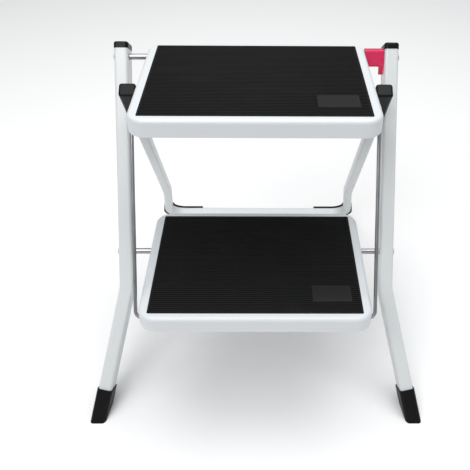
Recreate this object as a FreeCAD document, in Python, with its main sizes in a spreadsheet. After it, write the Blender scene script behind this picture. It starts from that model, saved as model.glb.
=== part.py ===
import FreeCAD, Part
import math
import os

import Sketcher

# Folding two-step stool. Millimetres, +Z up, X to the user's right, -Y towards the front feet.
# The origin is on the floor under the middle of the footprint. The front legs and the rear
# frame cross like scissors; both steps turn on rods through the front legs.

# Driving sizes of the stool: lengths in millimetres, angles in degrees.
SIZES = {
    "lean": 33.8,                  # both leg pairs, off the vertical, in opposite directions
    "line_spread": 471.6,          # floor distance between the two leg centre lines
    "line_shift": 7.6,             # midpoint of those lines behind the origin
    "front_x": 185.0,              # front leg centre above its bend
    "front_width": 19.0,
    "front_depth": 30.0,
    "front_corner": 4.0,
    "front_wall": 1.3,
    "front_rise": 96.6,            # leg top above the crossing, along the leg
    "front_bend": 186.8,
    "front_splay": 12.8,
    "front_bend_radius": 70.0,
    "front_end": 17.0,
    "cap_rise": 8.6,
    "cap_overhang": 0.5,
    "cap_plug": 5.0,
    "cap_plug_corner": 2.5,
    "cap_edge": 3.0,
    "foot_wall": 1.7,
    "foot_top": 38.7,
    "foot_corner": 5.0,
    "foot_extra_depth": 0.6,
    "foot_edge": 0.8,
    "rear_x": 165.9,               # rear tube centre above its bend
    "rear_width": 15.0,
    "rear_depth": 16.0,
    "rear_corner": 3.5,
    "rear_wall": 1.2,
    "rear_top": 80.0,              # above the crossing, along the leg
    "rear_bend": 143.0,
    "rear_splay": 6.6,
    "rear_bend_radius": 60.0,
    "rear_corner_radius": 30.0,
    "glide_wall": 2.0,
    "glide_bar": 68.0,             # length along the floor bar
    "glide_leg": 34.0,             # length up the leg
    "glide_lip": 1.2,              # back wall above the floor bar
    "sleeve_out": 8.7,             # sleeve faces from the rear tube's centre line
    "sleeve_in": 12.9,
    "sleeve_depth": 18.4,
    "sleeve_top": 86.4,            # above the crossing, along the rear leg
    "sleeve_bottom": 23.0,
    "sleeve_corner": 3.6,
    "sleeve_edge": 3.0,
    "slide_pin": 7.0,
    "slide_rise": 35.0,            # slide pin above the crossing, along the rear leg
    "slide_head": 11.0,
    "slide_head_thick": 3.0,
    "slide_head_edge": 1.2,
    "slide_head_gap": 1.0,         # head to bracket plate
    "slide_tip": 0.6,              # pin end outside the rear tube
    "slot_gap": 0.4,               # each side of the slide pin
    "rod": 8.0,
    "rod_offset": 4.3,             # rods ahead of the front leg's centre line
    "upper_rise": 86.1,            # upper rod above the crossing, along the front leg
    "lower_drop": 184.1,           # lower rod below the crossing
    "rod_stub": 1.0,               # rod end outside the leg
    "end_cap": 13.0,
    "end_cap_thick": 1.9,
    "end_cap_rim": 0.5,
    "end_cap_dome": 2.6,           # radius lost between rim and top
    "rivet": 8.0,
    "rivet_head": 13.0,
    "rivet_head_thick": 1.0,
    "rivet_gap": 0.1,              # inner head to rear tube
    "washer": 18.0,
    "washer_gap": 0.1,             # each side of the washer
    "tray_width": 294.0,
    "tray_depth": 215.0,
    "tray_corner": 22.0,
    "tray_edge": 5.0,
    "tray_flange": 22.0,
    "tray_sheet": 1.2,
    "upper_tray_rear": 12.2,       # tray behind its rod
    "lower_tray_rear": 67.3,
    "rod_notch": 1.5,              # tray flange to rod, each side
    "pin_notch": 2.0,              # tray flange to slide pin
    "upper_tray_rise": 15.2,       # tray top above the upper rod
    "lower_tray_rise": 17.9,       # tray top above the lower rod
    "mat_width": 270.0,
    "mat_depth": 194.0,
    "mat_thick": 1.8,
    "mat_corner": 7.0,
    "mat_rear_margin": 10.5,
    "bracket_x": 135.5,            # inner face of each bracket plate
    "bracket_sheet": 2.0,
    "upper_bracket_rear": 6.0,     # plate behind its rod
    "lower_bracket_rear": 44.0,
    "bracket_end": 9.0,            # plate ahead of the link pivot
    "bracket_below": 8.0,          # plate below its rod
    "bracket_margin": 8.0,         # plate around the slot
    "bracket_corner": 3.0,
    "bush": 11.0,
    "bush_flange": 15.0,
    "bush_flange_thick": 1.3,
    "bush_end": 0.6,               # bush past the outer face of the plate
    "running_gap": 0.05,           # every shaft in its hole, radial
    "press_gap": 0.02,             # clips and caps on their shafts, radial
    "link_rod": 4.8,
    "link_x": 152.0,
    "link_margin": 19.7,           # lower tray's front edge ahead of the link pivot
    "link_bend_radius": 9.0,
    "link_end": 132.6,
    "link_hole": 10.4,             # opening in the tray flange
    "clip": 11.0,
    "clip_thick": 1.4,
    "clip_x": 133.9,
    "latch_inner": 148.4,
    "latch_outer": 174.8,
    "latch_tab_inner": 169.0,
    "latch_bore_gap": 0.1,
    "latch_corner": 1.6,
    "latch_tab_corner": 0.7,
    "fold": 54.0,                  # rear frame travel, degrees
    "step_fold": 51.0,             # step travel, degrees
}

doc = FreeCAD.newDocument("folding_step_stool")
sheet = doc.addObject("Spreadsheet::Sheet", "sizes")
for row, (alias, number) in enumerate(SIZES.items(), start=1):
    sheet.set(f"A{row}", alias)
    sheet.set(f"B{row}", str(number))
    sheet.setAlias(f"B{row}", alias)
doc.recompute()


class Size:
    """A length or ratio with its number and the matching spreadsheet expression."""

    def __init__(self, value, text):
        self.value = float(value)
        self.text = text

    def _join(self, other, sign, value, swapped=False):
        other_text = other.text if isinstance(other, Size) else repr(float(other))
        left, right = (other_text, self.text) if swapped else (self.text, other_text)
        return Size(value, f"({left} {sign} {right})")

    def __add__(self, other):
        return self._join(other, "+", self.value + number(other))

    def __radd__(self, other):
        return self._join(other, "+", number(other) + self.value, swapped=True)

    def __sub__(self, other):
        return self._join(other, "-", self.value - number(other))

    def __rsub__(self, other):
        return self._join(other, "-", number(other) - self.value, swapped=True)

    def __mul__(self, other):
        return self._join(other, "*", self.value * number(other))

    def __rmul__(self, other):
        return self._join(other, "*", number(other) * self.value, swapped=True)

    def __truediv__(self, other):
        return self._join(other, "/", self.value / number(other))

    def __neg__(self):
        return Size(-self.value, f"(-1 * {self.text})")


def number(item):
    return item.value if isinstance(item, Size) else float(item)


def size(alias):
    return Size(SIZES[alias], f"sizes.{alias}")


def sine(angle):
    return Size(math.sin(math.radians(angle.value)), f"sin({angle.text} * 1deg)")


def cosine(angle):
    return Size(math.cos(math.radians(angle.value)), f"cos({angle.text} * 1deg)")


def tangent(angle):
    return Size(math.tan(math.radians(angle.value)), f"tan({angle.text} * 1deg)")


def bind(thing, name, item):
    setattr(thing, name, number(item))
    if isinstance(item, Size):
        thing.setExpression(name, item.text)


# ---- frames: where each group of pieces sits and how it leans -------------------------------

lean = size("lean")
zero = Size(0.0, "0.0")
front_line = size("line_shift") - size("line_spread") / 2
rear_line = size("line_shift") + size("line_spread") / 2
crossing_height = size("line_spread") / 2 / tangent(lean)
crossing = crossing_height / cosine(lean)
crossing_y = size("line_shift")

upper_rod_along = crossing + size("upper_rise")
lower_rod_along = crossing - size("lower_drop")
front_top = crossing + size("front_rise")
rod_side = -size("rod_offset")


def on_front_leg(along, across):
    """World Y and Z of a point given along and across the front leg."""
    y = front_line + along * sine(lean) + across * cosine(lean)
    z = along * cosine(lean) - across * sine(lean)
    return y, z


upper_pivot = on_front_leg(upper_rod_along, rod_side)
lower_pivot = on_front_leg(lower_rod_along, rod_side)
link_length = size("upper_rise") + size("lower_drop")
link_reach = size("tray_depth") - size("lower_tray_rear") - size("link_margin")

FRONT = (zero, front_line, zero, -lean)
REAR = (zero, rear_line, zero, lean)
UPPER = (zero, upper_pivot[0], upper_pivot[1], zero)
LOWER = (zero, lower_pivot[0], lower_pivot[1], zero)
LINK = (zero, lower_pivot[0] - link_reach, lower_pivot[1], -lean)

nodes = []


def place(thing, frame):
    x, y, z, turn = frame
    base = FreeCAD.Vector(x.value, y.value, z.value)
    thing.Placement = FreeCAD.Placement(base, FreeCAD.Rotation(FreeCAD.Vector(1, 0, 0), turn.value))
    thing.setExpression("Placement.Base.y", y.text)
    thing.setExpression("Placement.Base.z", z.text)
    if turn is not zero:
        thing.setExpression("Placement.Rotation.Angle", turn.text)


def new_body(label, frame, is_node=True):
    body = doc.addObject("PartDesign::Body", label)
    body.Label = label
    place(body, frame)
    if is_node:
        nodes.append(body)
    return body


def origin_plane(body, role):
    return next(item for item in body.Origin.OriginFeatures if item.Role == role)


def new_sketch(body, role, offset=None):
    sketch = body.newObject("Sketcher::SketchObject", body.Name + "_sketch")
    sketch.AttachmentSupport = (origin_plane(body, role), [""])
    sketch.MapMode = "FlatFace"
    if offset is not None:
        shift = FreeCAD.Vector(0, 0, number(offset))
        sketch.AttachmentOffset = FreeCAD.Placement(shift, FreeCAD.Rotation())
        if isinstance(offset, Size):
            sketch.setExpression("AttachmentOffset.Base.z", offset.text)
    return sketch


def fix_value(sketch, kind, *where, item):
    index = sketch.addConstraint(Sketcher.Constraint(kind, *where, number(item)))
    if isinstance(item, Size):
        sketch.setExpression(f"Constraints[{index}]", item.text)


def fix_point(sketch, geometry, position, x, y):
    fix_value(sketch, "DistanceX", -1, 1, geometry, position, item=x)
    fix_value(sketch, "DistanceY", -1, 1, geometry, position, item=y)


def draw_circle(sketch, x, y, diameter):
    centre = FreeCAD.Vector(number(x), number(y), 0)
    circle = Part.Circle(centre, FreeCAD.Vector(0, 0, 1), number(diameter) / 2)
    index = sketch.addGeometry(circle, False)
    fix_point(sketch, index, 3, x, y)
    fix_value(sketch, "Diameter", index, item=diameter)


def draw_polygon(sketch, points):
    spots = [FreeCAD.Vector(number(x), number(y), 0) for x, y in points]
    count = len(spots)
    lines = []
    for index in range(count):
        segment = Part.LineSegment(spots[index], spots[(index + 1) % count])
        lines.append(sketch.addGeometry(segment, False))
    for index in range(count):
        following = lines[(index + 1) % count]
        sketch.addConstraint(Sketcher.Constraint("Coincident", lines[index], 2, following, 1))
        fix_point(sketch, lines[index], 1, *points[index])


def corner_arc(before, corner, after, radius):
    """Tangent points and arc that round one corner of a path."""
    to_before = (before - corner).normalize()
    to_after = (after - corner).normalize()
    half = to_before.getAngle(to_after) / 2
    start = corner + to_before * (radius / math.tan(half))
    finish = corner + to_after * (radius / math.tan(half))
    centre = corner + (to_before + to_after).normalize() * (radius / math.sin(half))
    circle = Part.Circle(centre, FreeCAD.Vector(0, 0, 1), radius)
    turns_left = to_before.cross(to_after).z < 0
    first, last = (start, finish) if turns_left else (finish, start)
    arc = Part.ArcOfCircle(circle, circle.parameter(first), circle.parameter(last))
    return start, finish, arc, turns_left


def draw_rounded(sketch, points, radii, closed=True):
    """Lines through the points with a tangent arc at each corner; every corner point is fixed."""
    spots = [FreeCAD.Vector(number(x), number(y), 0) for x, y in points]
    count = len(spots)
    corners = range(count) if closed else range(1, count - 1)
    if not isinstance(radii, (list, tuple)):
        radii = [radii] * count
    arcs = {}
    for index in corners:
        before, after = spots[index - 1], spots[(index + 1) % count]
        arcs[index] = corner_arc(before, spots[index], after, number(radii[index]))
    segments = count if closed else count - 1
    lines = []
    for index in range(segments):
        following = (index + 1) % count
        start = arcs[index][1] if index in arcs else spots[index]
        finish = arcs[following][0] if following in arcs else spots[following]
        lines.append(sketch.addGeometry(Part.LineSegment(start, finish), False))
    for index in corners:
        arc = sketch.addGeometry(arcs[index][2], False)
        into, out = lines[index - 1], lines[index % segments]
        first, last = (1, 2) if arcs[index][3] else (2, 1)
        sketch.addConstraint(Sketcher.Constraint("Tangent", into, 2, arc, first))
        sketch.addConstraint(Sketcher.Constraint("Tangent", arc, last, out, 1))
        fix_value(sketch, "Radius", arc, item=radii[index])
        mark = sketch.addGeometry(Part.Point(spots[index]), True)
        sketch.addConstraint(Sketcher.Constraint("PointOnObject", mark, 1, into))
        sketch.addConstraint(Sketcher.Constraint("PointOnObject", mark, 1, out))
        fix_point(sketch, mark, 1, *points[index])
    if not closed:
        fix_point(sketch, lines[0], 1, *points[0])
        fix_point(sketch, lines[-1], 2, *points[-1])


def rectangle(x, y, width, height):
    """Corners of a rectangle about its centre."""
    left, right = x - width / 2, x + width / 2
    low, high = y - height / 2, y + height / 2
    return [(left, low), (right, low), (right, high), (left, high)]


def draw_tube_section(sketch, x, y, width, depth, corner, wall):
    draw_rounded(sketch, rectangle(x, y, width, depth), corner)
    inner = rectangle(x, y, width - wall * 2, depth - wall * 2)
    draw_rounded(sketch, inner, corner - wall)


def pad(body, sketch, length, reverse=False, both_ways=False):
    feature = body.newObject("PartDesign::Pad", body.Name + "_pad")
    feature.Profile = sketch
    feature.SideType = "Symmetric" if both_ways else "One side"
    feature.Reversed = reverse
    bind(feature, "Length", length)
    sketch.Visibility = False
    body.Tip = feature
    return feature


def pocket(body, sketch, length=None, reverse=False, both_ways=False):
    """Pocket to a length, or right through when no length is given."""
    doc.recompute()
    before = body.Shape.Volume
    feature = body.newObject("PartDesign::Pocket", body.Name + "_pocket")
    feature.Profile = sketch
    feature.SideType = "Symmetric" if both_ways else "One side"
    feature.Reversed = reverse
    if length is None:
        feature.Type = "ThroughAll"
    else:
        bind(feature, "Length", length)
    sketch.Visibility = False
    body.Tip = feature
    doc.recompute()
    if body.Shape.Volume > before - 0.01:
        raise RuntimeError(f"{feature.Name} removed nothing")
    return feature


def pipe(body, profile, path):
    feature = body.newObject("PartDesign::AdditivePipe", body.Name + "_pipe")
    feature.Profile = profile
    feature.Spine = (path, [])
    profile.Visibility = False
    path.Visibility = False
    body.Tip = feature
    return feature


def turn_about_x(body, outline):
    """Revolve an outline of (x, radius) points about the X axis."""
    sketch = new_sketch(body, "XZ_Plane")
    draw_polygon(sketch, outline)
    feature = body.newObject("PartDesign::Revolution", body.Name + "_turned")
    feature.Profile = sketch
    feature.ReferenceAxis = (sketch, ["H_Axis"])
    feature.Angle = 360.0
    sketch.Visibility = False
    body.Tip = feature
    return feature


def round_edges(body, radius, wanted):
    """Fillet the edges of the body's tip that the test accepts."""
    doc.recompute()
    base = body.Tip
    edges = enumerate(base.Shape.Edges, start=1)
    names = [f"Edge{index}" for index, edge in edges if wanted(edge)]
    if not names:
        raise RuntimeError(f"no edge to round on {body.Label}")
    feature = body.newObject("PartDesign::Fillet", body.Name + "_fillet")
    feature.Base = (base, names)
    bind(feature, "Radius", radius)
    body.Tip = feature
    doc.recompute()
    if "Invalid" in feature.State:
        raise RuntimeError(f"{feature.Name} failed")
    return feature


def edge_at_height(height):
    def test(edge):
        box = edge.BoundBox
        return abs(box.ZMin - height) < 1e-4 and abs(box.ZMax - height) < 1e-4
    return test


def side_name(side):
    return "left" if side < 0 else "right"


SIDES = (-1, 1)


# ---- front legs: rectangular tube, straight to a low bend and then splayed outwards -----------

foot_x = size("front_x") + size("front_bend") * tangent(size("front_splay"))


def make_front_leg(side):
    body = new_body(f"front_leg_{side_name(side)}", FRONT)
    x = size("front_x") * side
    splay_length = size("front_bend") - size("front_end")
    low_x = (size("front_x") + splay_length * tangent(size("front_splay"))) * side
    path = new_sketch(body, "XZ_Plane")
    points = [(x, front_top), (x, size("front_bend")), (low_x, size("front_end"))]
    draw_rounded(path, points, size("front_bend_radius"), closed=False)
    section = new_sketch(body, "XY_Plane", front_top)
    draw_tube_section(section, x, zero, size("front_width"), size("front_depth"),
                      size("front_corner"), size("front_wall"))
    pipe(body, section, path)
    holes = new_sketch(body, "YZ_Plane")
    rod_hole = size("rod") + size("running_gap") * 2
    draw_circle(holes, rod_side, upper_rod_along, rod_hole)
    draw_circle(holes, rod_side, lower_rod_along, rod_hole)
    draw_circle(holes, zero, crossing, size("rivet") + size("running_gap") * 2)
    pocket(body, holes, both_ways=True)


# ---- leg caps: moulded plugs with a rounded head over the tube end -----------------------------

def make_leg_cap(side):
    body = new_body(f"front_leg_cap_{side_name(side)}", FRONT)
    x = size("front_x") * side
    plug = new_sketch(body, "XY_Plane", front_top)
    inset = (size("front_wall") + size("running_gap")) * 2
    draw_rounded(plug, rectangle(x, zero, size("front_width") - inset, size("front_depth") - inset),
                 size("cap_plug_corner"))
    pad(body, plug, size("cap_plug"), reverse=True)
    head = new_sketch(body, "XY_Plane", front_top)
    over = size("cap_overhang") * 2
    outline = rectangle(x, zero, size("front_width") + over, size("front_depth") + over)
    draw_rounded(head, outline, size("front_corner") + size("cap_overhang"))
    pad(body, head, size("cap_rise"))
    round_edges(body, size("cap_edge"), edge_at_height(number(front_top + size("cap_rise"))))


# ---- front feet: moulded boots along the splayed leg, cut level with the floor -----------------

def make_front_foot(side):
    name = side_name(side)
    block = new_body(f"front_foot_block_{name}", FRONT, is_node=False)
    splay = FreeCAD.Rotation(FreeCAD.Vector(0, 1, 0), -side * number(size("front_splay")))
    lower_leg = FreeCAD.Placement(FreeCAD.Vector(side * foot_x.value, 0, 0), splay)
    for path in ("Placement.Base.y", "Placement.Base.z", "Placement.Rotation.Angle"):
        block.setExpression(path, None)
    block.Placement = block.Placement.multiply(lower_leg)
    along_splay = cosine(size("front_splay"))
    foot_top = size("foot_top") / along_splay
    below_floor = size("foot_top")
    outer = new_sketch(block, "XY_Plane", -below_floor)
    over = size("foot_wall") * 2
    foot_depth = size("front_depth") + over + size("foot_extra_depth")
    outline = rectangle(zero, zero, size("front_width") + over, foot_depth)
    draw_rounded(outer, outline, size("foot_corner"))
    pad(block, outer, foot_top + below_floor)
    socket = new_sketch(block, "XY_Plane", foot_top)
    gap = size("running_gap") * 2
    outline = rectangle(zero, zero, size("front_width") + gap, size("front_depth") + gap)
    draw_rounded(socket, outline, size("front_corner"))
    pocket(block, socket, foot_top - size("front_end") / along_splay + size("running_gap"))
    round_edges(block, size("foot_edge"), edge_at_height(foot_top.value))
    floor = doc.addObject("Part::Box", f"floor_under_{name}_foot")
    floor.Length = floor.Width = 400.0
    floor.Height = 100.0
    middle = FreeCAD.Vector(side * foot_x.value - 200.0, front_line.value - 200.0, -100.0)
    floor.Placement = FreeCAD.Placement(middle, FreeCAD.Rotation())
    foot = doc.addObject("Part::Cut", f"front_foot_{name}")
    foot.Label = f"front_foot_{name}"
    foot.Base = block
    foot.Tool = floor
    nodes.append(foot)


# ---- rods through both front legs, with a domed cap pressed on each end ------------------------

leg_outer = size("front_x") + size("front_width") / 2
leg_inner = size("front_x") - size("front_width") / 2


def make_rod(label, along):
    frame = (zero, front_line + along * sine(lean) + rod_side * cosine(lean),
             along * cosine(lean) - rod_side * sine(lean), -lean)
    body = new_body(label, frame)
    section = new_sketch(body, "YZ_Plane")
    draw_circle(section, zero, zero, size("rod"))
    pad(body, section, (leg_outer + size("rod_stub")) * 2, both_ways=True)
    return frame


def make_rod_cap(label, frame, side):
    body = new_body(label, frame)
    bore = size("rod") / 2 + size("press_gap")
    edge = size("end_cap") / 2
    top = leg_outer + size("end_cap_thick")
    outline = [
        (leg_outer * side, bore),
        (leg_outer * side, edge),
        ((leg_outer + size("end_cap_rim")) * side, edge),
        (top * side, edge - size("end_cap_dome")),
        (top * side, zero),
        ((leg_outer + size("rod_stub")) * side, zero),
        ((leg_outer + size("rod_stub")) * side, bore),
    ]
    turn_about_x(body, outline)


# ---- crossing pivots: a rivet through front leg and rear tube, a washer between ----------------

rear_inner = size("rear_x") - size("rear_width") / 2
rear_outer = size("rear_x") + size("rear_width") / 2
CROSSING = (zero, crossing_y, crossing_height, zero)


def make_crossing(side):
    rivet = new_body(f"crossing_rivet_{side_name(side)}", CROSSING)
    shank = size("rivet") / 2
    head = size("rivet_head") / 2
    thick = size("rivet_head_thick")
    inner = rear_inner - size("rivet_gap")
    outline = [
        ((inner - thick) * side, zero),
        ((inner - thick) * side, head),
        (inner * side, head),
        (inner * side, shank),
        (leg_outer * side, shank),
        (leg_outer * side, head),
        ((leg_outer + thick) * side, head),
        ((leg_outer + thick) * side, zero),
    ]
    turn_about_x(rivet, outline)
    washer = new_body(f"crossing_washer_{side_name(side)}", CROSSING)
    gap = size("washer_gap")
    ring = [
        ((rear_outer + gap) * side, shank + size("running_gap")),
        ((rear_outer + gap) * side, size("washer") / 2),
        ((leg_inner - gap) * side, size("washer") / 2),
        ((leg_inner - gap) * side, shank + size("running_gap")),
    ]
    turn_about_x(washer, ring)


# ---- rear frame: one tube bent into a U, its cross bar just off the floor ----------------------

bar_along = size("rear_width") / 2 + size("glide_wall") + size("rear_depth") / 2 * tangent(lean)
corner_x = size("rear_x") + (size("rear_bend") - bar_along) * tangent(size("rear_splay"))
rear_end = crossing + size("rear_top")


def make_rear_frame():
    body = new_body("rear_frame_tube", REAR)
    path = new_sketch(body, "XZ_Plane")
    x = size("rear_x")
    points = [
        (-x, rear_end),
        (-x, size("rear_bend")),
        (-corner_x, bar_along),
        (corner_x, bar_along),
        (x, size("rear_bend")),
        (x, rear_end),
    ]
    bend, corner = size("rear_bend_radius"), size("rear_corner_radius")
    draw_rounded(path, points, [bend, bend, corner, corner, bend, bend], closed=False)
    section = new_sketch(body, "XY_Plane", rear_end)
    draw_tube_section(section, -x, zero, size("rear_width"), size("rear_depth"),
                      size("rear_corner"), size("rear_wall"))
    pipe(body, section, path)
    holes = new_sketch(body, "YZ_Plane")
    draw_circle(holes, zero, crossing, size("rivet") + size("running_gap") * 2)
    draw_circle(holes, zero, crossing + size("slide_rise"), size("slide_pin") + size("running_gap") * 2)
    pocket(body, holes, both_ways=True)


# ---- floor glides: plastic angles under and behind the corners of the rear frame --------------

def make_rear_glide(side):
    body = new_body(f"rear_foot_{side_name(side)}", REAR)
    start_x = (corner_x - size("glide_bar")) * side
    top_along = bar_along + size("glide_leg")
    top_x = (corner_x - (top_along - bar_along) * tangent(size("rear_splay"))) * side
    path = new_sketch(body, "XZ_Plane")
    points = [(start_x, bar_along), (corner_x * side, bar_along), (top_x, top_along)]
    draw_rounded(path, points, size("rear_corner_radius"), closed=False)
    section = new_sketch(body, "YZ_Plane", start_x)
    gap = size("running_gap")
    front = -(size("rear_depth") / 2)
    back_in = size("rear_depth") / 2 + gap
    back_out = size("rear_depth") / 2 + size("glide_wall")
    under_in = bar_along - size("rear_width") / 2 - gap
    under_out = bar_along - size("rear_width") / 2 - size("glide_wall")
    lip = bar_along + size("rear_width") / 2 + size("glide_lip")
    draw_polygon(section, [
        (front, under_out),
        (back_out, under_out),
        (back_out, lip),
        (back_in, lip),
        (back_in, under_in),
        (front, under_in),
    ])
    pipe(body, section, path)


# ---- rear leg end fittings: moulded sleeves that carry the slide pins --------------------------

def make_sleeve(side):
    body = new_body(f"rear_leg_sleeve_{side_name(side)}", REAR)
    width = size("sleeve_out") + size("sleeve_in")
    x = (size("rear_x") + (size("sleeve_out") - size("sleeve_in")) / 2) * side
    block = new_sketch(body, "XY_Plane", crossing + size("sleeve_bottom"))
    draw_rounded(block, rectangle(x, zero, width, size("sleeve_depth")), size("sleeve_corner"))
    pad(body, block, size("sleeve_top") - size("sleeve_bottom"))
    top = crossing + size("sleeve_top")
    round_edges(body, size("sleeve_edge"), edge_at_height(top.value))
    socket = new_sketch(body, "XY_Plane", crossing + size("sleeve_bottom"))
    gap = size("running_gap") * 2
    outline = rectangle(size("rear_x") * side, zero, size("rear_width") + gap, size("rear_depth") + gap)
    draw_rounded(socket, outline, size("rear_corner"))
    depth = size("rear_top") - size("sleeve_bottom") + size("running_gap")
    pocket(body, socket, depth, reverse=True)
    hole = new_sketch(body, "YZ_Plane")
    draw_circle(hole, zero, crossing + size("slide_rise"), size("slide_pin") + size("running_gap") * 2)
    pocket(body, hole, both_ways=True)


# ---- slide pins: through sleeve and tube, running in the arc slots of the upper brackets -------

bracket_out = size("bracket_x") + size("bracket_sheet")


def make_slide_pin(side):
    along = crossing + size("slide_rise")
    frame = (zero, rear_line - along * sine(lean), along * cosine(lean), lean)
    body = new_body(f"slide_pin_{side_name(side)}", frame)
    shank = size("slide_pin") / 2
    head = size("slide_head") / 2
    head_outer = size("bracket_x") - size("slide_head_gap")
    head_inner = head_outer - size("slide_head_thick")
    tip = rear_outer + size("slide_tip")
    edge = size("slide_head_edge")
    outline = [
        (head_inner * side, zero),
        (head_inner * side, head - edge),
        ((head_inner + edge) * side, head),
        (head_outer * side, head),
        (head_outer * side, shank),
        (tip * side, shank),
        (tip * side, zero),
    ]
    turn_about_x(body, outline)


# ---- step trays: pressed sheet, rounded rim and a flange all round ----------------------------

def slot_point(share):
    """Slide pin seen from the upper rod, with the step's turn undone, at a share of the fold."""
    fold = math.radians(SIZES["fold"] * share)
    turn = math.radians(SIZES["step_fold"] * share)
    leg = fold - math.radians(SIZES["lean"])
    reach = SIZES["slide_rise"]
    y = crossing_y.value + reach * math.sin(leg) - upper_pivot[0].value
    z = crossing_height.value + reach * math.cos(leg) - upper_pivot[1].value
    return (y * math.cos(turn) + z * math.sin(turn), -y * math.sin(turn) + z * math.cos(turn))


def circle_through(first, second, third):
    """Centre and radius of the circle through three points."""
    circle = Part.Circle(*[FreeCAD.Vector(point[0], point[1], 0) for point in (first, second, third)])
    return circle.Center.x, circle.Center.y, circle.Radius


slot_start = slot_point(0.0)
slot_middle = slot_point(0.5)
slot_finish = slot_point(1.0)


def make_tray(label, frame, rise, rear_edge, over_pin):
    body = new_body(label, frame)
    depth = size("tray_depth")
    middle_y = rear_edge - depth / 2
    block = new_sketch(body, "XY_Plane", rise)
    draw_rounded(block, rectangle(zero, middle_y, size("tray_width"), depth), size("tray_corner"))
    pad(body, block, size("tray_flange"), reverse=True)
    round_edges(body, size("tray_edge"), edge_at_height(rise.value))
    low = rise.value - number(size("tray_flange"))
    base = body.Tip
    faces = base.Shape.Faces
    open_face = next(f"Face{index}" for index, face in enumerate(faces, start=1)
                     if abs(face.BoundBox.ZMax - low) < 1e-4)
    shell = body.newObject("PartDesign::Thickness", body.Name + "_shell")
    shell.Base = (base, [open_face])
    shell.Reversed = True
    bind(shell, "Value", size("tray_sheet"))
    body.Tip = shell
    cuts = new_sketch(body, "YZ_Plane")
    half = size("rod") / 2 + size("rod_notch")
    below = rise - size("tray_flange") - size("rod_notch")
    draw_polygon(cuts, [(-half, below), (half, below), (half, half), (-half, half)])
    draw_circle(cuts, -link_reach, zero, size("link_hole"))
    if over_pin:
        pin_room = size("slide_pin") / 2 + size("pin_notch")
        front = slot_middle[0] - pin_room
        rear = slot_finish[0] + pin_room
        high = max(slot_finish[1], slot_middle[1]) + pin_room
        draw_polygon(cuts, [(front, below), (rear, below), (rear, high), (front, high)])
    pocket(body, cuts, both_ways=True)


# ---- step mats: ribbed rubber sheets glued to the trays ----------------------------------------

def make_mat(label, frame, rise, rear_edge):
    body = new_body(label, frame)
    middle_y = rear_edge - size("mat_rear_margin") - size("mat_depth") / 2
    sheet_outline = new_sketch(body, "XY_Plane", rise)
    outline = rectangle(zero, middle_y, size("mat_width"), size("mat_depth"))
    draw_rounded(sheet_outline, outline, size("mat_corner"))
    pad(body, sheet_outline, size("mat_thick"))


# ---- step brackets: plates welded under the trays; the upper pair has the arc slots -----------

def draw_arc_slot(sketch, width):
    """Slot round the path of the slide pin: two concentric arcs and two round ends."""
    middle_y, middle_z, radius = circle_through(slot_start, slot_middle, slot_finish)
    centre = FreeCAD.Vector(middle_y, middle_z, 0)
    axis = FreeCAD.Vector(0, 0, 1)
    half = number(width) / 2
    ends = [slot_start, slot_finish]
    ends.sort(key=lambda spot: math.atan2(spot[1] - middle_z, spot[0] - middle_y))
    angles = [math.atan2(spot[1] - middle_z, spot[0] - middle_y) for spot in ends]
    if angles[1] - angles[0] > math.pi:
        ends.reverse()
        angles = [angles[1], angles[0] + 2 * math.pi]
    outer = sketch.addGeometry(Part.ArcOfCircle(Part.Circle(centre, axis, radius + half), *angles), False)
    inner = sketch.addGeometry(Part.ArcOfCircle(Part.Circle(centre, axis, radius - half), *angles), False)
    caps = []
    for spot, start in ((ends[0], angles[0] + math.pi), (ends[1], angles[1])):
        circle = Part.Circle(FreeCAD.Vector(spot[0], spot[1], 0), axis, half)
        caps.append(sketch.addGeometry(Part.ArcOfCircle(circle, start, start + math.pi), False))
    first, last = caps
    sketch.addConstraint(Sketcher.Constraint("Tangent", outer, 1, first, 2))
    sketch.addConstraint(Sketcher.Constraint("Tangent", first, 1, inner, 1))
    sketch.addConstraint(Sketcher.Constraint("Tangent", outer, 2, last, 1))
    sketch.addConstraint(Sketcher.Constraint("Tangent", last, 2, inner, 2))
    fix_point(sketch, outer, 3, middle_y, middle_z)
    fix_point(sketch, first, 3, *ends[0])
    fix_value(sketch, "DistanceX", -1, 1, last, 3, item=ends[1][0])
    fix_value(sketch, "Radius", first, item=width / 2)


def make_bracket(label, frame, rise, rear, side, slotted):
    body = new_body(label, frame)
    inner = size("bracket_x") * side
    plate = new_sketch(body, "YZ_Plane", inner)
    top = rise - size("tray_sheet")
    front = -(link_reach + size("bracket_end"))
    below = -size("bracket_below")
    margin = size("slide_pin") / 2 + size("slot_gap") + size("bracket_margin")
    if slotted:
        tab_front = slot_start[0] - margin
        tab_rear = slot_finish[0] + margin
        tab_low = slot_start[1] - margin
        outline = [
            (rear, top),
            (front, top),
            (front, below),
            (tab_front, below),
            (tab_front, tab_low),
            (slot_start[0] + margin, tab_low),
            (tab_rear, below),
            (rear, below),
        ]
    else:
        outline = [(rear, top), (front, top), (front, below), (rear, below)]
    draw_rounded(plate, outline, size("bracket_corner"))
    pad(body, plate, size("bracket_sheet"), reverse=side < 0)
    holes = new_sketch(body, "YZ_Plane")
    draw_circle(holes, zero, zero, size("bush") + size("running_gap") * 2)
    draw_circle(holes, -link_reach, zero, size("link_rod") + size("running_gap") * 2)
    if slotted:
        draw_arc_slot(holes, size("slide_pin") + size("slot_gap") * 2)
    pocket(body, holes, both_ways=True)


# ---- bushes: flanged nylon bearings between bracket plates and rods ---------------------------

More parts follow.
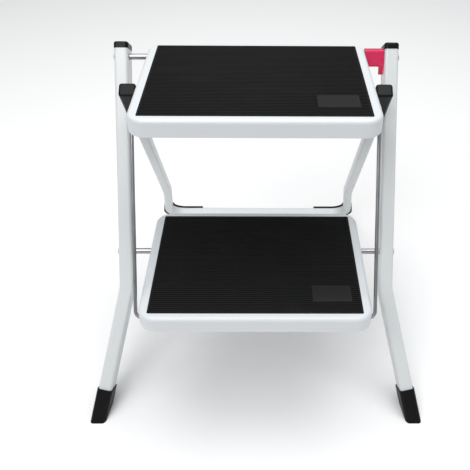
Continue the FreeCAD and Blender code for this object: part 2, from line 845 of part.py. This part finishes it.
def make_bush(label, frame, side):
    body = new_body(label, frame)
    bore = size("rod") / 2 + size("running_gap")
    plate_face = size("bracket_x")
    flange_face = plate_face - size("bush_flange_thick")
    end = bracket_out + size("bush_end")
    outline = [
        (flange_face * side, bore),
        (flange_face * side, size("bush_flange") / 2),
        (plate_face * side, size("bush_flange") / 2),
        (plate_face * side, size("bush") / 2),
        (end * side, size("bush") / 2),
        (end * side, bore),
    ]
    turn_about_x(body, outline)


# ---- step links: bent wire from the upper step to the lower one, clipped at both ends ---------

def make_link(side):
    name = side_name(side)
    body = new_body(f"link_rod_{name}", LINK)
    path = new_sketch(body, "XZ_Plane")
    end, out = size("link_end") * side, size("link_x") * side
    draw_rounded(path, [(end, zero), (out, zero), (out, link_length), (end, link_length)],
                 size("link_bend_radius"), closed=False)
    section = new_sketch(body, "YZ_Plane", end)
    draw_circle(section, zero, zero, size("link_rod"))
    pipe(body, section, path)
    upper = (zero, upper_pivot[0] - link_reach, upper_pivot[1], zero)
    lower = (zero, lower_pivot[0] - link_reach, lower_pivot[1], zero)
    for place_name, frame in (("upper", upper), ("lower", lower)):
        clip = new_body(f"link_clip_{place_name}_{name}", frame)
        bore = size("link_rod") / 2 + size("press_gap")
        inner, outer = size("clip_x") * side, (size("clip_x") + size("clip_thick")) * side
        turn_about_x(clip, [(inner, bore), (inner, size("clip") / 2), (outer, size("clip") / 2), (outer, bore)])


# ---- safety latch: red moulding on the upper rod between the step and the right leg -----------

LATCH_BODY = [(-9.1, -7.4), (-5.0, 4.0), (-2.6, 11.2), (5.4, 11.6), (8.6, 2.0), (2.4, -9.6), (-7.0, -10.2)]
LATCH_TAB = [(-9.1, -7.4), (-3.0, -9.0), (-6.6, -17.6), (-9.6, -20.6), (-11.4, -19.2)]


def make_latch():
    body = new_body("safety_latch", UPPER)
    grip = new_sketch(body, "YZ_Plane", size("latch_inner"))
    draw_rounded(grip, LATCH_BODY, size("latch_corner"))
    pad(body, grip, size("latch_outer") - size("latch_inner"))
    tab = new_sketch(body, "YZ_Plane", size("latch_tab_inner"))
    draw_rounded(tab, LATCH_TAB, size("latch_tab_corner"))
    pad(body, tab, size("latch_outer") - size("latch_tab_inner"))
    bore = new_sketch(body, "YZ_Plane")
    draw_circle(bore, zero, zero, size("rod") + size("latch_bore_gap") * 2)
    pocket(body, bore, both_ways=True)


# ---- the whole stool ----------------------------------------------------------------------------

for side in SIDES:
    make_front_leg(side)
    make_leg_cap(side)
    make_front_foot(side)
upper_rod_frame = make_rod("upper_rod", upper_rod_along)
lower_rod_frame = make_rod("lower_rod", lower_rod_along)
for side in SIDES:
    make_rod_cap(f"upper_rod_cap_{side_name(side)}", upper_rod_frame, side)
    make_rod_cap(f"lower_rod_cap_{side_name(side)}", lower_rod_frame, side)
    make_crossing(side)
make_rear_frame()
for side in SIDES:
    make_rear_glide(side)
    make_sleeve(side)
    make_slide_pin(side)
upper_rise, upper_rear = size("upper_tray_rise"), size("upper_tray_rear")
lower_rise, lower_rear = size("lower_tray_rise"), size("lower_tray_rear")
make_tray("top_step_tray", UPPER, upper_rise, upper_rear, over_pin=True)
make_tray("lower_step_tray", LOWER, lower_rise, lower_rear, over_pin=False)
make_mat("top_step_mat", UPPER, upper_rise, upper_rear)
make_mat("lower_step_mat", LOWER, lower_rise, lower_rear)
for side in SIDES:
    name = side_name(side)
    make_bracket(f"top_step_bracket_{name}", UPPER, upper_rise, size("upper_bracket_rear"), side, True)
    make_bracket(f"lower_step_bracket_{name}", LOWER, lower_rise, size("lower_bracket_rear"), side, False)
    make_bush(f"top_step_bush_{name}", UPPER, side)
    make_bush(f"lower_step_bush_{name}", LOWER, side)
    make_link(side)
make_latch()

doc.recompute()
for item in doc.Objects:
    if "Invalid" in item.State or "Error" in item.State:
        raise RuntimeError(f"{item.Name} failed: {item.State}")
os.makedirs("parts", exist_ok=True)
for node in nodes:
    shape = node.Shape
    if shape.isNull() or not shape.isValid() or len(shape.Solids) != 1:
        raise RuntimeError(f"{node.Label} is not one valid solid")
    shape.exportStep(f"parts/{node.Label}.step")
    print(f"{node.Label}: {shape.Volume:.0f} mm3")
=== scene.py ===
import math

import bmesh
import bpy
from mathutils import Matrix, Vector


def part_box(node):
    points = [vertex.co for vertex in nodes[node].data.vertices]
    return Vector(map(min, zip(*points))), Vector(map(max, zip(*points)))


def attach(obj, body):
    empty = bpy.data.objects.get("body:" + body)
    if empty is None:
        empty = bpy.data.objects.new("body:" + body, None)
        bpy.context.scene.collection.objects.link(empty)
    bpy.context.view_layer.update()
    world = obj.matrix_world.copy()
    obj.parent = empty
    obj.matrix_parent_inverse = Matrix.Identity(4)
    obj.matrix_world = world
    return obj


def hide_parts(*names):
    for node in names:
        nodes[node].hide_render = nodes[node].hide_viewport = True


# A folding two-step stool: a white powder-coated scissor frame, two pressed steel treads with
# ribbed rubber mats, zinc rods and wires, black moulded end fittings and a red safety latch.
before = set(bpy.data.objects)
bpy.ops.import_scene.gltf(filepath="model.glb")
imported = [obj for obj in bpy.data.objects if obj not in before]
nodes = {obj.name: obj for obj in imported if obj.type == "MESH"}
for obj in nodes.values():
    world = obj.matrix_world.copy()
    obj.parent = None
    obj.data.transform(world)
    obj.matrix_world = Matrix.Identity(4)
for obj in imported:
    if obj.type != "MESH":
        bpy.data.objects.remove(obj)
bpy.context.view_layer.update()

bpy.ops.object.select_all(action="DESELECT")


# ---- Legs --------------------------------------------------------------------------------------
# Two splayed front legs of flat-sided steel tube and one rear tube bent into a U. They are
# bent, drilled and then powder coated white, which leaves a fine orange peel and a satin gloss.

MM = 0.001
LEG_WHITE = 0.70


class Wire:
    """A shader socket that can be added, subtracted and multiplied like a number."""

    def __init__(self, finish, socket):
        self.finish = finish
        self.socket = socket

    def _math(self, operation, *operands):
        return self.finish.node("ShaderNodeMath", {"operation": operation}, *operands)

    def __add__(self, other):
        return self._math("ADD", self, other)

    __radd__ = __add__

    def __sub__(self, other):
        return self._math("SUBTRACT", self, other)

    def __mul__(self, other):
        return self._math("MULTIPLY", self, other)

    __rmul__ = __mul__

    def ramp(self, low, high):
        """0 below low, 1 above high, smooth between."""
        settings = {"interpolation_type": "SMOOTHSTEP"}
        return self.finish.node("ShaderNodeMapRange", settings, self, low, high, 0.0, 1.0)


class Finish:
    """One surface finish: a Principled shader and the nodes that feed it."""

    def __init__(self, name, **plain):
        self.material = bpy.data.materials.new(name)
        self.material.use_nodes = True
        self.tree = self.material.node_tree
        self.tree.nodes.clear()
        self.surface = self.tree.nodes.new("ShaderNodeBsdfPrincipled")
        output = self.tree.nodes.new("ShaderNodeOutputMaterial")
        self.tree.links.new(self.surface.outputs[0], output.inputs[0])
        for socket, value in plain.items():
            self.surface.inputs[socket.replace("_", " ")].default_value = value
        self.where = self.node("ShaderNodeTexCoord", {}, out="Object")

    def node(self, kind, settings, *values, out=0, **named):
        """Add a node with its settings, feed its inputs by place or name, hand back an output."""
        made = self.tree.nodes.new(kind)
        for key, value in settings.items():
            setattr(made, key, value)
        for key, value in [*enumerate(values), *named.items()]:
            socket = made.inputs[key.replace("_", " ") if isinstance(key, str) else key]
            if isinstance(value, Wire):
                self.tree.links.new(value.socket, socket)
            else:
                socket.default_value = value
        return Wire(self, made.outputs[out])

    def noise(self, scale, detail=3.0, roughness=0.5, stretch=None):
        """Noise in the piece's own space, drawn out along an axis whose stretch is small."""
        place = self.where
        if stretch is not None:
            place = self.node("ShaderNodeMapping", {}, self.where, Scale=stretch)
        return self.node("ShaderNodeTexNoise", {}, Vector=place, Scale=scale, Detail=detail,
                         Roughness=roughness)

    def blend(self, share, first, second):
        """Colour between two colours by a share from 0 to 1."""
        made = self.tree.nodes.new("ShaderNodeMix")
        made.data_type = "RGBA"
        share_input, first_input, second_input, colour_output = 0, 6, 7, 2
        for index, value in ((share_input, share), (first_input, first), (second_input, second)):
            if isinstance(value, Wire):
                self.tree.links.new(value.socket, made.inputs[index])
            else:
                made.inputs[index].default_value = value
        return Wire(self, made.outputs[colour_output])

    def feed(self, **wires):
        """Link wires to the shader's inputs of the same names."""
        for socket, wire in wires.items():
            self.tree.links.new(wire.socket, self.surface.inputs[socket.replace("_", " ")])

    def bump(self, height, strength, distance):
        """Relief of the given height pattern, in metres."""
        made = self.node("ShaderNodeBump", {}, Strength=strength, Distance=distance, Height=height)
        self.feed(Normal=made)


def grey(level, red=1.0, green=1.0, blue=1.0):
    """A grey, tinted by a factor on each channel."""
    return (level * red, level * green, level * blue, 1.0)


def powder_coat(name, level, cool):
    """White powder coat: satin, with orange peel and faint handling marks."""
    finish = Finish(name, Specular_IOR_Level=0.5, Coat_Weight=0.12, Coat_Roughness=0.25)
    cloud = finish.noise(9.0, detail=4.0)
    marks = finish.noise(70.0, detail=5.0, roughness=0.65).ramp(0.62, 0.78)
    shaded = grey(level * 0.965, red=0.955, blue=cool)
    tone = finish.blend(cloud, shaded, grey(level, red=0.965, blue=cool))
    tone = finish.blend(marks * 0.10, tone, grey(level * 0.72, blue=0.98))
    finish.feed(Base_Color=tone, Roughness=0.30 + 0.10 * cloud + 0.14 * marks)
    peel = finish.noise(620.0, detail=2.0)
    finish.bump(peel + 0.4 * finish.noise(190.0, detail=1.0), 0.35, 0.08 * MM)
    return finish.material


def wear(nodes_worn, material):
    """Give CAD nodes one material all over."""
    for node in nodes_worn:
        nodes[node].data.materials.clear()
        nodes[node].data.materials.append(material)


leg_paint = powder_coat("leg_powder_coat", LEG_WHITE, 1.01)
wear(["front_leg_left", "front_leg_right", "rear_frame_tube"], leg_paint)


# ---- Step trays --------------------------------------------------------------------------------
# Sheet steel pressed to a shallow pan with a rounded rim and a deep flange, welded to its
# bracket plates below and coated with the same white powder as the legs.

SIDES = ("left", "right")
TRAY_WHITE = 0.71

tray_paint = powder_coat("tray_powder_coat", TRAY_WHITE, 1.03)
brackets = [f"{step}_step_bracket_{side}" for step in ("top", "lower") for side in SIDES]
wear(["top_step_tray", "lower_step_tray", *brackets], tray_paint)


# ---- Step mats ---------------------------------------------------------------------------------
# Black rubber sheets moulded with fine ribs from side to side inside a plain border, glued into
# the trays. Each has a plain raised patch near its front right corner.

MAT_BORDER = 2.6 * MM
RIB_PITCH = 3.55 * MM
RIB_WIDTH = 2.2 * MM
RIB_HEIGHT = 1.1 * MM
RIB_ROUND = 0.8 * MM
RIB_ROOT = 0.2 * MM                       # how far the ribs reach into the sheet
SHEET_CORNER = 2.0 * MM
SHEET_RIM = 0.3 * MM
RIM_BAND = 0.001 * MM                     # edges this close to the top count as the rim
PATCH = (50.0 * MM, 29.0 * MM)
PATCH_INSET = (12.5 * MM, 19.0 * MM)      # patch from the mat's right and front edges
PATCH_ROOT = 1.0 * MM                     # patch below the crowns of the ribs
PATCH_RISE = 0.25 * MM                    # and above them
PATCH_CORNER = 1.2 * MM
PATCH_RIM = 0.2 * MM


def ribbed_rubber():
    """Matt black rubber with faint streaks and pale specks of dust."""
    finish = Finish("ribbed_rubber", Specular_IOR_Level=0.13)
    cloud = finish.noise(14.0, detail=5.0, roughness=0.6)
    streak = finish.noise(30.0, detail=4.0, stretch=(0.5, 1.6, 1.0)).ramp(0.5, 0.8)
    speck = finish.noise(900.0, detail=1.0).ramp(0.66, 0.74)
    tone = finish.blend(cloud, grey(0.0055, blue=1.05), grey(0.0085, blue=1.04))
    tone = finish.blend(streak * 0.2, tone, grey(0.016, blue=1.04))
    tone = finish.blend(speck * 0.25, tone, grey(0.06))
    finish.feed(Base_Color=tone, Roughness=0.52 + 0.16 * cloud - 0.08 * streak)
    finish.bump(finish.noise(1300.0, detail=2.0), 0.3, 0.06 * MM)
    return finish.material


def edit(piece):
    """Open a piece for editing with nothing selected and hand back its editable mesh."""
    bpy.ops.object.select_all(action="DESELECT")
    bpy.context.view_layer.objects.active = piece
    piece.select_set(True)
    bpy.ops.object.mode_set(mode="EDIT")
    bpy.ops.mesh.select_mode(type="EDGE")
    bpy.ops.mesh.select_all(action="DESELECT")
    return bmesh.from_edit_mesh(piece.data)


def pick(mesh, parts, test):
    """Select the edges or faces of an open mesh whose middle passes the test."""
    for part in parts:
        points = [vertex.co for vertex in part.verts]
        middle = sum(points, Vector()) / len(points)
        part.select_set(bool(test(part, middle)))
    mesh.select_flush_mode()
    bpy.context.tool_settings.mesh_select_mode = (False, True, False)


def close(piece):
    """Leave edit mode with the piece's place in its mesh."""
    bpy.ops.object.mode_set(mode="OBJECT")
    bpy.ops.object.select_all(action="DESELECT")
    piece.select_set(True)
    bpy.ops.object.transform_apply(location=True, rotation=True, scale=True)
    return piece


def new_block(name, low, high):
    """A box between two corners, its place in its mesh."""
    middle = [(a + b) / 2 for a, b in zip(low, high)]
    bpy.ops.mesh.primitive_cube_add(size=1.0, location=middle)
    block = bpy.context.object
    block.name = block.data.name = name
    block.scale = [b - a for a, b in zip(low, high)]
    bpy.ops.object.transform_apply(location=True, rotation=True, scale=True)
    return block


def upright(edge, middle):
    """An edge that runs up and down."""
    first, second = edge.verts[0].co, edge.verts[1].co
    return abs(first.z - second.z) > 0.9 * (first - second).length


def rounded_slab(name, low, high, corner, rim):
    """A flat slab with rounded plan corners and a softened upper rim."""
    slab = new_block(name, low, high)
    mesh = edit(slab)
    pick(mesh, mesh.edges, upright)
    bpy.ops.mesh.bevel(offset=corner, segments=8, affect="EDGES")
    bpy.ops.mesh.select_all(action="DESELECT")
    mesh = bmesh.from_edit_mesh(slab.data)
    pick(mesh, mesh.edges, lambda edge, middle: middle.z > high[2] - RIM_BAND)
    bpy.ops.mesh.bevel(offset=rim, segments=3, affect="EDGES")
    return close(slab)


def join(name, parts):
    """Make one piece of several, under a new name."""
    bpy.ops.object.select_all(action="DESELECT")
    for part in parts:
        part.select_set(True)
    bpy.context.view_layer.objects.active = parts[0]
    bpy.ops.object.join()
    piece = bpy.context.object
    piece.name = piece.data.name = name
    return piece


def smooth(piece, angle=35.0):
    """Shade smooth across every edge flatter than the angle, in degrees."""
    bpy.ops.object.select_all(action="DESELECT")
    piece.select_set(True)
    bpy.context.view_layer.objects.active = piece
    bpy.ops.object.shade_smooth_by_angle(angle=math.radians(angle))
    return piece


def paint(piece, material):
    """Give a piece one material all over."""
    piece.data.materials.clear()
    piece.data.materials.append(material)
    return piece


def apply_modifiers(piece):
    """Turn a piece's modifiers into mesh, in their order."""
    bpy.context.view_layer.objects.active = piece
    for modifier in list(piece.modifiers):
        bpy.ops.object.modifier_apply(modifier=modifier.name)
    return piece


rubber = ribbed_rubber()


def ribbed_mat(node, body):
    """A mat in place of the plain CAD one: a sheet with one rib repeated over its depth."""
    low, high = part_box(node)
    base_top = high.z - RIB_HEIGHT
    sheet = rounded_slab(f"{node}_sheet", low, (high.x, high.y, base_top), SHEET_CORNER, SHEET_RIM)
    room = high.y - low.y - 2 * MAT_BORDER
    count = int(room / RIB_PITCH)
    first = low.y + (high.y - low.y - (count - 1) * RIB_PITCH - RIB_WIDTH) / 2
    rib = new_block("rib", (low.x + MAT_BORDER, first, base_top - RIB_ROOT),
                    (high.x - MAT_BORDER, first + RIB_WIDTH, high.z))
    mesh = edit(rib)
    pick(mesh, mesh.edges, lambda edge, middle: middle.z > high.z - RIM_BAND)
    bpy.ops.mesh.bevel(offset=RIB_ROUND, segments=3, affect="EDGES")
    close(rib)
    rows = rib.modifiers.new("rows", "ARRAY")
    rows.use_relative_offset = False
    rows.use_constant_offset = True
    rows.constant_offset_displace = (0.0, RIB_PITCH, 0.0)
    rows.count = count
    apply_modifiers(rib)
    mat = smooth(join(f"{node}_ribbed", [sheet, rib]), 50.0)
    paint(mat, rubber)
    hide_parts(node)
    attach(mat, body)


def plain_patch(node, body):
    """The blank moulded panel on a mat, standing just above the crowns of the ribs."""
    low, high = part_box(node)
    right, front = high.x - PATCH_INSET[0], low.y + PATCH_INSET[1]
    patch = rounded_slab(f"{node}_patch", (right - PATCH[0], front, high.z - PATCH_ROOT),
                         (right, front + PATCH[1], high.z + PATCH_RISE), PATCH_CORNER, PATCH_RIM)
    smooth(patch)
    paint(patch, patch_rubber)
    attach(patch, body)


def patch_finish():
    """The same rubber without ribs, a little shinier."""
    finish = Finish("smooth_rubber", Specular_IOR_Level=0.16)
    cloud = finish.noise(60.0, detail=4.0)
    finish.feed(Base_Color=finish.blend(cloud, grey(0.011), grey(0.016)),
                Roughness=0.42 + 0.18 * cloud)
    finish.bump(finish.noise(1600.0, detail=1.0), 0.15, 0.04 * MM)
    return finish.material


patch_rubber = patch_finish()
for step in ("top_step", "lower_step"):
    ribbed_mat(f"{step}_mat", step)
    plain_patch(f"{step}_mat", step)


# ---- Black mouldings ---------------------------------------------------------------------------
# Leg caps, boots, rear sleeves and floor glides: injection-moulded black plastic with a fine
# spark-eroded grain, with paler and shinier rubbed spots.

CAP_BLACK = 0.0045
GLIDE_BLACK = 0.005


def moulded_black(name, level, gloss):
    """Black plastic of one level; gloss is its least roughness."""
    finish = Finish(name, Specular_IOR_Level=0.16)
    cloud = finish.noise(45.0, detail=4.0)
    rub = finish.noise(160.0, detail=4.0, roughness=0.7).ramp(0.6, 0.8)
    tone = finish.blend(cloud, grey(level * 0.8), grey(level * 1.15, blue=1.03))
    tone = finish.blend(rub * 0.3, tone, grey(level * 2.2))
    finish.feed(Base_Color=tone, Roughness=gloss + 0.10 * cloud - 0.06 * rub)
    finish.bump(finish.noise(1500.0, detail=2.0), 0.25, 0.05 * MM)
    return finish.material


cap_plastic = moulded_black("cap_plastic", CAP_BLACK, 0.30)
boot_plastic = moulded_black("boot_plastic", CAP_BLACK, 0.40)
glide_plastic = moulded_black("glide_plastic", GLIDE_BLACK, 0.45)
for side in SIDES:
    wear([f"front_leg_cap_{side}", f"rear_leg_sleeve_{side}"], cap_plastic)
    wear([f"front_foot_{side}"], boot_plastic)
    wear([f"rear_foot_{side}"], glide_plastic)


# ---- Rods, wires, pins and clips ---------------------------------------------------------------
# Bright zinc-plated steel: rods through the front legs, bent link wires between the steps,
# rivets, slide pins and push-on clips. Drawn wire shows faint lines along its length.

DRAWN = 0.03                              # how far drawing lines are pulled out, as a noise scale


def zinc(name, along):
    """Zinc plate over steel drawn along one axis."""
    finish = Finish(name, Metallic=1.0)
    stretch = [(DRAWN if axis == along else 1.0) for axis in "xyz"]
    drawn = finish.noise(900.0, detail=3.0, stretch=stretch)
    cloud = finish.noise(40.0, detail=3.0)
    tone = finish.blend(cloud, grey(0.30, blue=1.03), grey(0.46, blue=1.02))
    finish.feed(Base_Color=tone, Roughness=0.20 + 0.14 * drawn + 0.08 * cloud)
    finish.bump(drawn, 0.2, 0.03 * MM)
    return finish.material


rod_zinc = zinc("rod_zinc", "x")
wire_zinc = zinc("wire_zinc", "z")
for side in SIDES:
    wear([f"link_rod_{side}", f"link_clip_upper_{side}", f"link_clip_lower_{side}"], wire_zinc)
    wear([f"upper_rod_cap_{side}", f"lower_rod_cap_{side}", f"crossing_rivet_{side}",
          f"slide_pin_{side}"], rod_zinc)
wear(["upper_rod", "lower_rod"], rod_zinc)


# ---- Bushes and washers ------------------------------------------------------------------------
# Nylon bearings, pressed into the brackets round the rods and threaded between the crossing
# legs. They are moulded in the plain milky white of the undyed plastic.

def natural_nylon():
    """Undyed nylon, softly glossy."""
    finish = Finish("natural_nylon", Specular_IOR_Level=0.5)
    cloud = finish.noise(80.0, detail=3.0)
    finish.feed(Base_Color=finish.blend(cloud, grey(0.62, blue=0.93), grey(0.72, blue=0.95)),
                Roughness=0.38 + 0.12 * cloud)
    return finish.material


nylon = natural_nylon()
for side in SIDES:
    wear([f"top_step_bush_{side}", f"lower_step_bush_{side}", f"crossing_washer_{side}"], nylon)


# ---- Safety latch ------------------------------------------------------------------------------
# One red moulding that turns on the upper rod between the top step and the right front leg,
# with a thumb tab on its outer end.

DARK_RED = (0.62, 0.018, 0.085, 1.0)
BRIGHT_RED = (0.74, 0.028, 0.115, 1.0)


def red_moulding():
    """Red plastic with a fine moulded grain."""
    finish = Finish("red_moulding", Specular_IOR_Level=0.5, Subsurface_Weight=0.05)
    cloud = finish.noise(70.0, detail=4.0)
    finish.feed(Base_Color=finish.blend(cloud, DARK_RED, BRIGHT_RED), Roughness=0.30 + 0.12 * cloud)
    finish.bump(finish.noise(1200.0, detail=1.0), 0.12, 0.04 * MM)
    return finish.material


wear(["safety_latch"], red_moulding())


# ---- Floor and light ---------------------------------------------------------------------------
# A plain pale floor under an even bright sky, with one soft key from the front left and one
# large soft lamp overhead.

FLOOR_SIZE = 30.0
SKY_COLOUR = (0.97, 0.985, 1.0, 1.0)
SKY_STRENGTH = 0.36
KEY_POWER = 27.0
OVERHEAD_POWER = 52.0

scene = bpy.context.scene
bpy.ops.mesh.primitive_plane_add(size=FLOOR_SIZE, location=(0.0, 0.0, 0.0))
floor = bpy.context.object
floor.name = "studio_floor"
floor_finish = Finish("studio_floor", Specular_IOR_Level=0.1)
floor_cloud = floor_finish.noise(1.5, detail=2.0)
floor_finish.feed(Base_Color=floor_finish.blend(floor_cloud, grey(0.93), grey(0.95)),
                  Roughness=0.85 + 0.05 * floor_cloud)
paint(floor, floor_finish.material)

sky = bpy.data.worlds.new("studio")
scene.world = sky
sky.use_nodes = True
sky.node_tree.nodes["Background"].inputs["Color"].default_value = SKY_COLOUR
sky.node_tree.nodes["Background"].inputs["Strength"].default_value = SKY_STRENGTH


def soft_light(name, place, target, size, power):
    """A rectangular lamp at a place, turned to face its target."""
    lamp = bpy.data.lights.new(name, "AREA")
    lamp.shape = "RECTANGLE"
    lamp.size, lamp.size_y = size
    lamp.energy = power
    holder = bpy.data.objects.new(name, lamp)
    scene.collection.objects.link(holder)
    way = Vector(target) - Vector(place)
    facing = way.to_track_quat("-Z", "Y").to_matrix().to_4x4()
    holder.matrix_world = Matrix.Translation(place) @ facing


soft_light("key", (-0.9, -1.7, 2.4), (0.0, 0.0, 0.25), (1.4, 1.2), KEY_POWER)
soft_light("overhead", (0.1, 0.1, 2.6), (0.0, 0.0, 0.3), (2.2, 2.2), OVERHEAD_POWER)


# ---- Camera ------------------------------------------------------------------------------------
# In front of the stool and well above its top, looking forty degrees down at the treads, with
# the lens slid sideways so that the stool stands a little right of the middle.

LENS = 47.106
SENSOR = 36.0
SLIDE = -0.0681
EYE = (0.00832, -0.75705, 0.78442)
SWING, PITCH, ROLL = -0.58, 50.0, 0.50    # degrees; a pitch of 0 looks straight down

camera = bpy.data.cameras.new("camera")
camera.sensor_width = SENSOR
camera.lens = LENS
camera.shift_x = SLIDE
camera.clip_start, camera.clip_end = 0.01, 50.0
viewer = bpy.data.objects.new("camera", camera)
scene.collection.objects.link(viewer)
turn = (Matrix.Rotation(math.radians(SWING), 4, "Z") @ Matrix.Rotation(math.radians(PITCH), 4, "X")
        @ Matrix.Rotation(math.radians(ROLL), 4, "Z"))
viewer.matrix_world = Matrix.Translation(EYE) @ turn
scene.camera = viewer
scene.view_settings.view_transform = "Standard"


# ---- Final update ------------------------------------------------------------------------------
# The view layer is brought up to date once every piece is in place.

bpy.context.view_layer.update()
